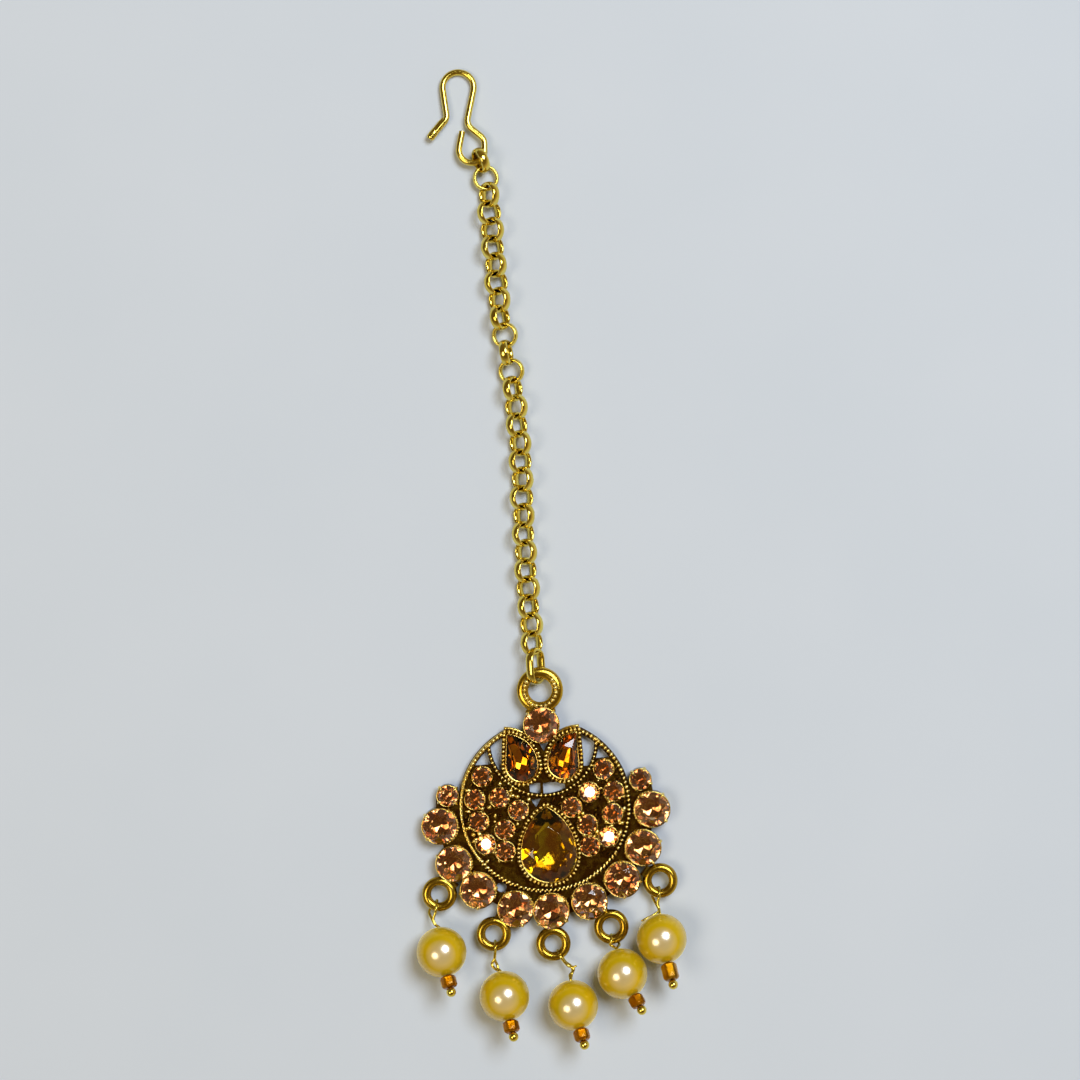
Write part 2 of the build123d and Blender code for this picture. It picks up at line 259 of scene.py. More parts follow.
def principled(name, **inputs):
    """A material with one Principled shader, its node tree and the shader."""
    material = bpy.data.materials.new(name)
    material.use_nodes = True
    tree = material.node_tree
    shader = tree.nodes["Principled BSDF"]
    feed(tree, shader, **inputs)
    return material, tree, shader


def own_place(tree):
    """A point's place in the part's frame, in metres."""
    return add(tree, "TexCoord").outputs["Object"]


def noise(tree, size, detail=3.0, rough=0.5):
    """Noise with features of a size in millimetres, from 0 to 1."""
    made = add(tree, "TexNoise", Vector=own_place(tree), Scale=1 / (size * MM), Detail=detail,
               Roughness=rough)
    return made.outputs["Fac"]


def levels(tree, value, low, high, to_low=0.0, to_high=1.0):
    """A value, mapped from one range to another and held inside it."""
    made = add(tree, "MapRange", Value=value, From_Min=low, From_Max=high,
               To_Min=to_low, To_Max=to_high)
    return made.outputs["Result"]


def blend(tree, share, first, second):
    """Mix of two colours, each a colour or a socket."""
    made = add(tree, "Mix", dict(data_type="RGBA"))
    for index, value in ((0, share), (6, first), (7, second)):
        plug(tree, made.inputs[index], value)
    return made.outputs[2]


def combine(tree, operation, *values):
    """Result of a math operation on numbers or sockets, held between 0 and 1."""
    made = add(tree, "Math", dict(operation=operation, use_clamp=True))
    for socket, value in zip(made.inputs, values):
        plug(tree, socket, value)
    return made.outputs[0]


def bump(tree, height, depth_mm):
    """Normals of a relief of a depth."""
    made = add(tree, "Bump", Height=height, Strength=1.0, Distance=depth_mm * MM)
    return made.outputs["Normal"]


# ---- materials --------------------------------------------------------------------------------
SHADED_WITHIN = 0.9                # metal this near, in millimetres, hems a surface in and gives it painted shade and patina


def painted_middle_shade(tree):
    """Share of the patina and painted shade over the pendant's middle; the drop loops and the
    hanging ring stay bright."""
    split = add(tree, "SeparateXYZ", Vector=own_place(tree))
    flat = add(tree, "CombineXYZ", X=split.outputs["X"], Y=split.outputs["Y"])
    reach = add(tree, "VectorMath", dict(operation="LENGTH"), Vector=flat.outputs[0])
    near, far = np.array(SHADE_OUT_TO) * MM
    within = levels(tree, reach.outputs["Value"], near, far, 1.0, 0.25)
    low, high = np.array(SHADE_UP_TO) * MM
    below_ring = levels(tree, split.outputs["Y"], low, high, 1.0, 0.0)
    return combine(tree, "MULTIPLY", within, below_ring)


def gold(name, bright, deep, patina_and_shade, roughness, shade_from, shade_to, grain=0.012, shade_middle=False):
    """Plated metal: two tones that drift, patina and painted shade where it is hemmed in, fine
    grain.
    The patina and painted shade start where a share shade_from of the space around is open, and are
    full at shade_to.
    The grain is a depth in millimetres."""
    material, tree, shader = principled(name, Metallic=1.0)
    drift = levels(tree, noise(tree, 2.2, 2.0), 0.35, 0.65)
    metal = blend(tree, drift, bright, deep)
    # painted shade: ambient occlusion pulls hemmed-in metal towards the dark colour, as shade and
    # patina
    occlusion_shade = add(tree, "AmbientOcclusion", dict(samples=6), Distance=SHADED_WITHIN * MM)
    mottle = levels(tree, noise(tree, 0.35, 3.0), 0.3, 0.7, -0.12, 0.12)
    open_share = combine(tree, "ADD", occlusion_shade.outputs["AO"], mottle)
    recess_shade = levels(tree, open_share, shade_to, shade_from, 1.0, 0.0)
    # painted shade with patina: the pendant's middle is darkened by its place, patchily
    if shade_middle:
        patchy = levels(tree, noise(tree, 0.7, 3.0), 0.45, 0.8, 1.0, 0.8)
        middle_share = combine(tree, "MULTIPLY", painted_middle_shade(tree), patchy)
        recess_shade = combine(tree, "MAXIMUM", recess_shade, middle_share)
    fine = noise(tree, 0.12, 4.0, 0.6)
    shine = levels(tree, fine, 0.3, 0.7, roughness - 0.05, roughness + 0.07)
    feed(tree, shader, Base_Color=blend(tree, recess_shade, metal, patina_and_shade),
         Roughness=combine(tree, "MULTIPLY_ADD", recess_shade, 0.15, shine),
         Normal=bump(tree, fine, grain))
    return material


def stone_glass(name, tint, coat=0.0):
    """Coloured glass of a stone's crown, with faint wear on its polish.  A coat adds bright glints
    to its facets."""
    material, tree, shader = principled(
        name, Base_Color=tint, IOR=1.66, Transmission_Weight=1.0, Roughness=0.02,
        Coat_Weight=coat, Coat_IOR=2.0, Coat_Roughness=0.06,
    )
    feed(tree, shader, Roughness=levels(tree, noise(tree, 0.5, 4.0), 0.45, 0.8, 0.0, 0.04))
    return material


def stone_foil(name, light, dark, size=0.8, wear=0.05):
    """Mirror foil on a stone's back, whose colour drifts; wear is its greatest roughness."""
    material, tree, shader = principled(name, Metallic=1.0, Roughness=0.05)
    drift = levels(tree, noise(tree, size, 2.0), 0.4, 0.6)
    feed(tree, shader, Base_Color=blend(tree, drift, light, dark),
         Roughness=levels(tree, noise(tree, 0.3), 0.3, 0.7, 0.2 * wear, wear))
    return material


def pearl_material():
    """Golden imitation pearl: a glossy yellow body with a cream glow painted on its top as a
    painted highlight, under a cloudy skin that spreads a soft glow round each light on top and
    shows again towards the edge."""
    material, tree, shader = principled(
        "pearl_lacquer", IOR=1.5, Metallic=0.15, Coat_Roughness=0.24, Coat_IOR=3.0,
        Specular_Tint=(1.0, 0.92, 0.62), Sheen_Weight=1.0, Sheen_Roughness=0.3,
        Sheen_Tint=(1.0, 0.84, 0.2),
    )
    cloud = levels(tree, noise(tree, 2.5, 3.0, 0.6), 0.35, 0.65)
    body = blend(tree, cloud, (0.69, 0.45, 0.003), (0.58, 0.405, 0.003))
    height = add(tree, "SeparateXYZ", Vector=own_place(tree)).outputs["Z"]
    # painted highlight: a cream glow painted on the top of each pearl, by height
    painted_top_glow = levels(tree, height, 5.35 * MM, 5.95 * MM, 0.0, 0.35)
    fine = noise(tree, 0.25, 3.0)
    edge = add(tree, "LayerWeight", Blend=0.5).outputs["Facing"]
    glow = levels(tree, edge, 0.03, 0.14, 1.0, 0.0)
    rim = levels(tree, edge, 0.3, 0.75, 0.0, 0.6)
    # the cream colour below is the painted highlight on the pearl's top
    feed(tree, shader, Base_Color=blend(tree, painted_top_glow, body, (0.95, 0.83, 0.68)),
         Roughness=levels(tree, fine, 0.3, 0.7, 0.12, 0.18), Normal=bump(tree, fine, 0.004),
         Coat_Weight=combine(tree, "ADD", glow, rim))
    return material


def seed_glass(name, light, dark):
    """Clear coloured glass whose colour drifts, with golden gloss and faint wear."""
    material, tree, shader = principled(
        name, IOR=1.42, Transmission_Weight=1.0, Roughness=0.03, Specular_Tint=(1.0, 0.68, 0.22)
    )
    drift = levels(tree, noise(tree, 0.6, 2.0), 0.4, 0.6)
    feed(tree, shader, Base_Color=blend(tree, drift, light, dark),
         Roughness=levels(tree, noise(tree, 0.3), 0.4, 0.8, 0.01, 0.06))
    return material


def floor_material():
    """Pale matt board with the faintest mottling."""
    material, tree, shader = principled("floor_board", Roughness=0.75, Specular_IOR_Level=0.2)
    cloud = levels(tree, noise(tree, 30.0, 3.0), 0.3, 0.7)
    feed(tree, shader, Base_Color=blend(tree, cloud, (0.615, 0.686, 0.785), (0.635, 0.703, 0.800)))
    return material


# each gold's third colour is its patina, also used as painted shade where the metal is hemmed in
CASTING_GOLD = gold("casting_gold", (0.68, 0.47, 0.055), (0.53, 0.32, 0.025), (0.050, 0.018, 0.002),
                    roughness=0.14, shade_from=0.66, shade_to=0.30, shade_middle=True)
BEAD_GOLD = gold("bead_gold", (1.0, 0.83, 0.32), (0.95, 0.68, 0.15), (0.08, 0.030, 0.003),
                 roughness=0.22, shade_from=0.42, shade_to=0.14)
RIM_GOLD = gold("rim_gold", (0.92, 0.70, 0.20), (0.78, 0.52, 0.10), (0.13, 0.050, 0.008),
                roughness=0.15, shade_from=0.5, shade_to=0.18)
CHAIN_GOLD = gold("chain_gold", (0.84, 0.69, 0.15), (0.76, 0.57, 0.08), (0.17, 0.07, 0.006),
                  roughness=0.10, shade_from=0.52, shade_to=0.18, grain=0.010)
WIRE_GOLD = gold("wire_gold", (0.84, 0.69, 0.13), (0.76, 0.57, 0.07), (0.22, 0.10, 0.01),
                 roughness=0.12, shade_from=0.42, shade_to=0.12, grain=0.008)
CHAMPAGNE_GLASS = stone_glass("champagne_glass", (0.94, 0.78, 0.59), coat=0.7)
CHAMPAGNE_FOIL = stone_foil("champagne_foil", (0.93, 0.78, 0.56), (0.62, 0.30, 0.16), wear=0.1)
INNER_FOIL = stone_foil("inner_foil", (0.84, 0.60, 0.36), (0.60, 0.30, 0.12), wear=0.1)
WORN_FOIL = stone_foil("worn_foil", (0.84, 0.58, 0.38), (0.62, 0.34, 0.18), wear=0.16)
AMBER_GLASS = stone_glass("amber_glass", (0.95, 0.60, 0.07))
AMBER_FOIL = stone_foil("amber_foil", (0.92, 0.60, 0.15), (0.70, 0.31, 0.05), size=1.2)
HONEY_FOIL = stone_foil("honey_foil", (0.90, 0.57, 0.15), (0.70, 0.31, 0.05), size=1.2, wear=0.2)
OLIVE_GLASS = stone_glass("olive_glass", (0.83, 0.71, 0.08))
OLIVE_FOIL = stone_foil("olive_foil", (0.86, 0.82, 0.22), (0.60, 0.30, 0.05), size=2.4, wear=0.1)
PEARL = pearl_material()
SEED_GLASS = seed_glass("seed_glass", (0.985, 0.70, 0.06), (0.95, 0.54, 0.03))
LONG_SEED_GLASS = seed_glass("long_seed_glass", (0.985, 0.84, 0.12), (0.96, 0.74, 0.06))
LINING_GOLD = gold("lining_gold", (0.98, 0.68, 0.14), (0.84, 0.48, 0.06), (0.58, 0.31, 0.03),
                   roughness=0.22, shade_from=0.35, shade_to=0.1)


# ---- stones -----------------------------------------------------------------------------------
ROUND_CUT = (0.67, 0.05, 0.28)     # pavilion, girdle and crown, as shares of a stone's height
PEAR_CUT = (0.57, 0.05, 0.38)
TABLE = 0.58                       # share of the width where the main crown facets reach the top,
UPPER_FACETS = TABLE + 0.12        # and where the small ones beside them do
TABLE_LEAN = 0.62                  # steepness of the facets round the table, over the crown's
PAVILION_MAINS, LOWER_FACETS = 0.04, 0.13      # where the foiled facets reach the full depth
FAN_FROM, FAN_TILT, FAN_DEPTH = 25, 9.5, 0.8   # blunt facets that cut a pear's lowest point off
ROUND_SIDES = 48
ROUND_TILT = 7                     # most that a round stone leans, in degrees
CROOKED = {   # tilt, and the way that the table leans, in degrees from +X
    "stone_inner_g_left": (12, 47), "stone_inner_g_right": (12.5, 50),
    "stone_inner_b_right": (12.2, 49),
}
FLANK_STEPS = 24                   # points up each side of a pear's outline
TIP_LIFT = 0.06                    # a pear's deepest point, as a share of the way to its tip
PEAR_LOOKS = {   # glass, foil, main facets and facets of the fan
    "large": (OLIVE_GLASS, OLIVE_FOIL, 10, 5), "left": (AMBER_GLASS, AMBER_FOIL, 8, 4),
    "right": (AMBER_GLASS, HONEY_FOIL, 8, 4),
}


def slice_off(bm, point, normal):
    """Cuts a convex block with a plane, drops what is outside it and closes the cut."""
    geometry = bm.verts[:] + bm.edges[:] + bm.faces[:]
    result = bmesh.ops.bisect_plane(
        bm, geom=geometry, dist=1e-5, plane_co=point, plane_no=normal, clear_outer=True
    )
    edges = [item for item in result["geom_cut"] if isinstance(item, bmesh.types.BMEdge)]
    rim = [edge for edge in edges if edge.is_boundary]
    if len(rim) > 2:
        bmesh.ops.edgeloop_fill(bm, edges=rim)


def cut_stone(outline, depth, girdle, crown, mains=8, phase=0.0, fan=0):
    """A brilliant about its own middle, at the girdle's lower edge: a prism of the outline, cut by
    one plane for each facet.  Returns points, faces and each face's kind: 1 where it is foiled,
    under the girdle."""
    bm = bmesh.new()
    low = [bm.verts.new((x, y, -depth)) for x, y in outline]
    high = [bm.verts.new((x, y, girdle + crown)) for x, y in outline]
    bm.faces.new(low[::-1])
    bm.faces.new(high)
    for k in range(len(outline)):
        after = (k + 1) % len(outline)
        bm.faces.new((low[k], low[after], high[after], high[k]))
    step = 360 / mains

    def across(angle):
        way = np.array([cos(radians(angle)), sin(radians(angle))])
        return way, float((outline @ way).max())

    def facet(angle, start, rise, share):
        """Plane over the girdle's edge that reaches the rise at a share of the way out."""
        way, reach = across(angle)
        flat = reach * (1 - share) * (1 if rise > 0 else -1)
        normal = Vector((way[0] * abs(rise), way[1] * abs(rise), flat)).normalized()
        slice_off(bm, (way[0] * reach, way[1] * reach, start), normal)

    corners = []
    for k in range(mains):
        angle = phase + k * step
        facet(angle, girdle, crown, TABLE)
        facet(angle - step / 4, girdle, crown, UPPER_FACETS)
        facet(angle + step / 4, girdle, crown, UPPER_FACETS)
        facet(angle, 0, -depth, PAVILION_MAINS)
        facet(angle + step / 2, 0, -depth, LOWER_FACETS)
        way, reach = across(angle)
        corners.append(way * reach * TABLE)
    for k in range(fan):
        way = radians(phase + FAN_FROM + k * 360 / fan)
        tilt = radians(FAN_TILT)
        normal = Vector((cos(way) * sin(tilt), sin(way) * sin(tilt), -cos(tilt)))
        slice_off(bm, (0, 0, -FAN_DEPTH * depth), normal)
    top = girdle + crown
    for k in range(mains):
        first, second = corners[k], corners[(k + 1) % mains]
        edge = second - first
        out = np.array([edge[1], -edge[0]]) / np.linalg.norm(edge)
        to_rim = np.linalg.norm((first + second) / 2) / TABLE * (1 - TABLE)
        lean = TABLE_LEAN * crown / to_rim
        normal = Vector((out[0] * lean, out[1] * lean, 1)).normalized()
        slice_off(bm, (first[0], first[1], top), normal)
    bmesh.ops.remove_doubles(bm, verts=bm.verts[:], dist=1e-3)
    bmesh.ops.recalc_face_normals(bm, faces=bm.faces[:])
    bm.verts.index_update()
    bm.normal_update()
    points = np.array([vert.co[:] for vert in bm.verts])
    faces = [[vert.index for vert in face.verts] for face in bm.faces]
    kinds = [1 if face.normal.z < -0.05 else 0 for face in bm.faces]
    bm.free()
    return points, faces, kinds


def round_stone_places():
    """Name, family, middle, radius, and lowest and highest point of each round stone."""
    for name in sorted(frame["nodes"]):
        if name.startswith("stone_") and "pear" not in name:
            family = name.split("_")[1]
            low, high = box(name)
            yield name, family, (low + high) / 2, (high[0] - low[0]) / 2, low[2], high[2]


def round_stones():
    """The round brilliants, each turned its own way and seated with a slight tilt.  A few sit
    crooked, with their tables towards the upper right."""
    made = {}
    for name, family, center, radius, low, high in round_stone_places():
        depth, girdle, crown = np.array(ROUND_CUT) * (high - low)
        if family not in made:
            turn = np.arange(ROUND_SIDES) / ROUND_SIDES * 2 * pi
            outline = radius * 0.995 * np.stack([np.cos(turn), np.sin(turn)], -1)
            made[family] = cut_stone(outline, depth, girdle, crown)
        points, faces, kinds = made[family]
        slight, anyhow, spin = rng.uniform([0, 0, 0], [ROUND_TILT, 360, 360])
        tilt, lean = CROOKED.get(name, (slight, anyhow))
        turned = Matrix.Rotation(radians(spin - lean), 3, "Z")
        turned = Matrix.Rotation(radians(tilt), 3, "Y") @ turned
        turned = Matrix.Rotation(radians(lean), 3, "Z") @ turned
        shape = Shape()
        shape.add(points @ np.array(turned).T + [*center[:2], low + depth], faces, kinds)
        foil = {"top": WORN_FOIL, "inner": INNER_FOIL}.get(family, CHAMPAGNE_FOIL)
        shape.piece(name.replace("stone", "gem"), [CHAMPAGNE_GLASS, foil],
                    "champagne_stone", [name], smooth=False)


def pear_outline(radius, tip, straight=0):
    """Teardrop about the middle of its round end: a half circle, then an arc up each side to the
    tip; the side with the sign of straight is a line.  Anticlockwise from the right."""
    def flank(side):
        """From the widest point up to the tip."""
        share = np.linspace(0, 1, FLANK_STEPS)[:, None]
        if side == straight:
            return np.array([side * radius, 0.0]) * (1 - share) + np.array(tip) * share
        reach = side * tip[0]
        arc_r = (hypot(*tip) ** 2 + radius**2 - 2 * radius * reach) / (2 * (radius - reach))
        arc_x = -side * (arc_r - radius)
        turn = atan2(tip[1], side * (tip[0] - arc_x)) * share
        return np.hstack([arc_x + side * arc_r * np.cos(turn), arc_r * np.sin(turn)])

    below = np.linspace(pi, 2 * pi, 2 * FLANK_STEPS)[1:-1, None]
    half = np.hstack([radius * np.cos(below), radius * np.sin(below)])
    return np.vstack([flank(1), flank(-1)[::-1][1:], half])


def pear_shape(side):
    """Middle of the round end, radius, tip and straight side of a pear stone's own outline."""
    node = f"stone_pear_{side}"
    low, high = box(node)
    vertices = frame["nodes"][node].data.vertices
    top = max((vertex.co for vertex in vertices), key=lambda place: place.y)
    straight = {"large": 0, "right": 1, "left": -1}[side]
    radius = (high[0] - low[0]) / 2
    center = np.array([(low[0] + high[0]) / 2, low[1] + radius])
    tip = (top.x / MM - center[0], top.y / MM - center[1])
    return center, radius, tip, straight


def pear_stones():
    """The pear brilliants, each with its tip up."""
    for side, (glass, foil, mains, fan) in PEAR_LOOKS.items():
        node = f"stone_pear_{side}"
        center, radius, tip, straight = pear_shape(side)
        low, high = box(node)
        lift = np.array(tip) * TIP_LIFT
        outline = pear_outline(radius, tip, straight) - lift
        depth, girdle, crown = np.array(PEAR_CUT) * (high[2] - low[2])
        points, faces, kinds = cut_stone(outline, depth, girdle, crown, mains, 90, fan)
        shape = Shape()
        shape.add(points + [*(center + lift), low[2] + depth], faces, kinds)
        shape.piece(f"gem_pear_{side}", [glass, foil], "amber_stone", [node], smooth=False)


# ---- casting trimmings ------------------------------------------------------------------------
BEAD_SIZES = (0.9, 1.06)           # how uneven the milgrain's beads are
SIDE_ARC = dict(radius=0.265, spacing=0.53, stretch=0.82)        # the frame's upper sides,
ROPE_ARC = dict(radius=0.18, spacing=0.50, stretch=2.0, slant=48)   # and its twisted lower arc
LEFT_CORE, ROPE_CORE, RIGHT_CORE = 0.28, 0.12, 0.15    # smooth wire that shows under the beads
SMALL_BEZEL = dict(radius=0.24, spacing=0.5, stretch=0.8)
BEZEL_BEADS = {"large": dict(SMALL_BEZEL, spacing=0.52), "left": SMALL_BEZEL, "right": SMALL_BEZEL}
LIP_R, LIP_SWELL = 0.055, 0.085    # a pear's lip, and how much thicker it is at the round end
RAIL_R, RAIL_STEPS = 0.19, 14      # a small pear's rail, and its points from the tip down


def bead_row(shape, path, radius, spacing, closed=False, stretch=1.0, slant=0.0):
    """Milgrain: a row of slightly uneven beads along a path.  A stretched bead is longer along the
    path, or at a slant to it, like the strokes of a rope."""
    points, faces = BALL
    places, ahead = evenly(path, spacing, closed)
    turn = np.array(Matrix.Rotation(radians(slant), 3, "Z"))
    for place, way in zip(places, ahead):
        size = radius * rng.uniform(*BEAD_SIZES)
        scaled = points * [size, size, size * stretch] @ turn_to(turn @ way).T
        nudge = rng.normal(0, 0.02, 3)
        shape.add(scaled + place + nudge, faces, tone=rng.uniform(0, 1))


def frame_beads():
    """Milgrain on the round frame wire and the crescent wire, and the smooth wire under it."""
    shoulders = []
    for side in ("left", "right"):
        corner = pear_shape(side)[0] + BEZEL_TIP[side]
        shoulders.append(degrees(atan2(corner[1], corner[0])))
    apart = hypot(CRESCENT_X, CRESCENT_Y)
    along = (FRAME_R**2 - CRESCENT_R**2 + apart**2) / (2 * apart)
    end = degrees(atan2(along - apart, sqrt(FRAME_R**2 - along**2)))
    shape = Shape()
    arcs = ((shoulders[0], 216, LEFT_CORE, SIDE_ARC), (217, 323, ROPE_CORE, ROPE_ARC),
            (324, 360 + shoulders[1], RIGHT_CORE, SIDE_ARC))
    for start, stop, core, beads in arcs:
        path = circle(FRAME_R, z=WIRE_CREST, steps=120, start=start, end=stop)
        bead_row(shape, path, **beads)
        shape.add(*tube(path - [0, 0, core / 2], core), kind=1)
    path = circle(CRESCENT_R, CRESCENT_X, CRESCENT_Y, WIRE_CREST, 120, 180 - end, 360 + end)
    bead_row(shape, path, radius=0.23, spacing=0.52, stretch=0.82)
    shape.piece("frame_milgrain", [BEAD_GOLD, RIM_GOLD], "casting_gold")


def bezel_beads():
    """Milgrain on each pear stone's bezel, the lip that holds the stone, which is thicker at its
    round end, and the smooth rail over each small pear."""
    for side, beads in BEZEL_BEADS.items():
        center, stone_radius, tip, straight = pear_shape(side)
        top = BEZEL_TOP[side]

        def raised(outline, height):
            return np.hstack([outline + center, np.full((len(outline), 1), height)])

        tip_x, tip_y = BEZEL_TIP[side]
        outline = pear_outline(stone_radius + BEZEL_GAP, (tip_x, tip_y), straight)
        shape = Shape()
        bead_row(shape, raised(outline, top + 0.05), closed=True, **beads)
        lip = pear_outline(stone_radius + 0.03, (tip[0], tip[1] + 0.05), straight)
        lower = np.clip(lip @ [-0.3, -0.95] / stone_radius, 0, 1)
        thick = LIP_R + LIP_SWELL * lower
        shape.add(*tube(raised(lip, top), thick, closed=True, sides=10), kind=1)
        if straight:
            rail = pear_outline(stone_radius + BEZEL_GAP + 0.3, (tip_x, tip_y + 0.42), straight)
            first = FLANK_STEPS - 1 if straight == 1 else FLANK_STEPS - RAIL_STEPS
            rail = raised(rail[first:first + RAIL_STEPS], top - 0.15)
            shape.add(*tube(rail, RAIL_R), kind=1)
        shape.piece(f"bezel_milgrain_{side}", [BEAD_GOLD, RIM_GOLD], "casting_gold")


def ring_beads():
    """Worn milgrain on the hanging ring, smooth at its top where the link rubs."""
    shape = Shape()
    path = circle(RING["r"] - 0.2, RING["x"], RING["y"], RING["z"] + RING["half_height"] + 0.05,
                  steps=160, start=112, end=398)
    bead_row(shape, path, radius=0.23, spacing=0.5)
    shape.piece("ring_milgrain", [BEAD_GOLD], "casting_gold")


CLAW_TAPER = (1.1, 1.1, 1.08, 1.05, 1.0, 0.98, 0.92, 0.7, 0.3)   # from its foot to its tip


def claw(shape, center, angle, radius, foot_z, tip_z, thick, reach):
    """One claw: up the cup's outside, then bent over the stone's edge to a rounded tip."""
    way = np.array([cos(angle), sin(angle), 0.0])
    places = ((radius + 0.16, foot_z), (radius + 0.14, tip_z - 0.1), (radius + 0.02, tip_z + 0.06),
              (radius - reach, tip_z))
    corners = [center + way * out + [0, 0, z] for out, z in places]
    share = np.linspace(0, 1, len(CLAW_TAPER))[:, None]
    path = ((1 - share) ** 3 * corners[0] + 3 * share * (1 - share) ** 2 * corners[1]
            + 3 * share**2 * (1 - share) * corners[2] + share**3 * corners[3])
    side = np.cross([0, 0, 1], way)
    shape.add(*tube(path, thick * np.array(CLAW_TAPER), up=side, sides=10), tone=rng.uniform(0, 1))


def rims_and_claws():
    """The thin rolled edge of each cup, thicker at its upper left, with beads on the inward side of
    the border cups, and the claws over the stones' edges."""
    rims, claws = Shape(), Shape()
    for _, family, center, radius, low, high in round_stone_places():
        wall = CUP_WALL[family]
        small = family == "inner"
        x, y = center[:2]
        top = low + ROUND_CUT[0] * (high - low) + 0.04
        rim = circle(radius + wall / 2, x, y, top, 64)
        upper_left = (rim - center)[:, :2] @ [-0.6, 0.8] / radius
        share = 0.3 if small else 0.42 + 0.2 * upper_left
        rims.add(*tube(rim, wall * share, closed=True, sides=10))
        if family == "border":
            inward = degrees(atan2(-y, -x))
            beaded = circle(radius + wall, x, y, top, 40, inward - 75, inward + 55)
            bead_row(rims, beaded, radius=0.13, spacing=0.31)
        tip_over, thick, reach = (0.16, 0.13, 0.14) if small else (0.22, 0.2, 0.2)
        for k in range(4):
            angle = atan2(y, x) + radians(45 + 90 * k) + rng.uniform(-0.2, 0.2)
            foot = center * [1, 1, 0]
            claw(claws, foot, angle, radius, top - 0.5, top + tip_over, thick, reach)
    rims.piece("cup_rims", [RIM_GOLD], "casting_gold")
    claws.piece("claws", [BEAD_GOLD], "casting_gold")


GRANULE_FIELD = ((-9.7, -6.3), (9.7, 5.1))     # corners of the part of the plate that they fill
FRAME_MARGIN, CRESCENT_MARGIN, PEAR_MARGIN = 0.5, 0.45, 0.75   # left free of them
GRANULE_TRIES = 6000
GRANULE_SPACING = 0.6
GRANULE_SIZES = (0.14, 0.30)
GRANULE_RISE = (0.1, 0.7)          # how high their middles are over the plate
DIM_SHARE = 0.6                    # share of them that is as dark as the casting


def granules():
    """Domed posts of uneven size that fill the gaps between the inner stones."""
    stones = [(c[:2], r + CUP_WALL[family]) for _, family, c, r, _, _ in round_stone_places()]
    stones.append((np.array(TIP_HOLE), TIP_HOLE_R))
    pear_center, pear_radius, pear_tip, _ = pear_shape("large")
    pear = pear_outline(pear_radius + PEAR_MARGIN, (0, pear_tip[1] + 1.0)) + pear_center
    shape, taken = Shape(), []
    for _ in range(GRANULE_TRIES):
        spot = rng.uniform(*GRANULE_FIELD)
        from_crescent = hypot(spot[0] - CRESCENT_X, spot[1] - CRESCENT_Y)
        if hypot(*spot) > FRAME_R - FRAME_MARGIN or from_crescent < CRESCENT_R + CRESCENT_MARGIN:
            continue
        if any(np.hypot(*(spot - place)) < reach + 0.02 for place, reach in stones):
            continue
        if np.min(np.hypot(*(pear - spot).T)) < 0.25 or inside(spot, pear):
            continue
        if any(np.hypot(*(spot - other)) < GRANULE_SPACING for other in taken):
            continue
        taken.append(spot)
    ball, faces = BALL
    for spot in taken:
        size = rng.uniform(*GRANULE_SIZES)
        height = PLATE_TOP + rng.uniform(*GRANULE_RISE)
        long = rng.choice([1.0, 1.0, 1.7])
        turn = np.array(Matrix.Rotation(rng.uniform(0, pi), 3, "Z"))
        dim = int(rng.uniform() < DIM_SHARE)
        shape.add(ball * [size * long, size, size] @ turn.T + [*spot, height], faces, kind=dim)
        post = [[*spot, PLATE_TOP - 0.05], [*spot, height]]
        shape.add(*tube(post, size * 0.8, up=(1, 0, 0)), kind=dim)
    shape.piece("granules", [BEAD_GOLD, CASTING_GOLD], "casting_gold")


def inside(spot, outline):
    """Whether a point is inside a closed outline."""
    x, y = outline[:, 0], outline[:, 1]
    next_x, next_y = np.roll(x, -1), np.roll(y, -1)
    crosses = (y > spot[1]) != (next_y > spot[1])
    with np.errstate(divide="ignore", invalid="ignore"):
        at = (next_x - x) * (spot[1] - y) / (next_y - y) + x
    return bool(np.sum(crosses & (spot[0] < at)) % 2)


# ---- chain ------------------------------------------------------------------------------------
CHAIN_ROUTE = (   # x and y of the chain's line
    (-2.40, 76.2), (-2.12, 68.0), (-1.78, 59.6), (-0.72, 50.6),
    (-0.32, 42.4), (-0.52, 34.0), (-0.50, 26.2), (-0.28, 19.5),
)
MIDDLE_LINKS = 27
CHAIN_FIRST_Y, CHAIN_TENTH_Y, CHAIN_LAST_Y = 75.85, 56.87, 19.78   # links are closer up to the 10th
LINK_R = 1.35
LINK_THICK, LINK_BROAD = 0.25, 0.52   # half the thickness and breadth of their flattened wire
LINK_STEPS, LINK_START = 64, 2.8   # points round a link, from just off the X axis, in degrees
LINK_ROLL, LINK_WANDER = 45, 7     # each link's slant, and how uneven it is
LINK_TURNS = {2: -38, 3: -8, 10: 12, 11: 32, 12: 32, 13: 32, 14: 12}   # where the chain twists
LINK_SWAY = 0.1125                 # how far each link is to the side of the chain's line
HOOK_LINK_ROLL, HOOK_LINK_HEADING, PENDANT_LINK_ROLL = -72, 21.5, 60


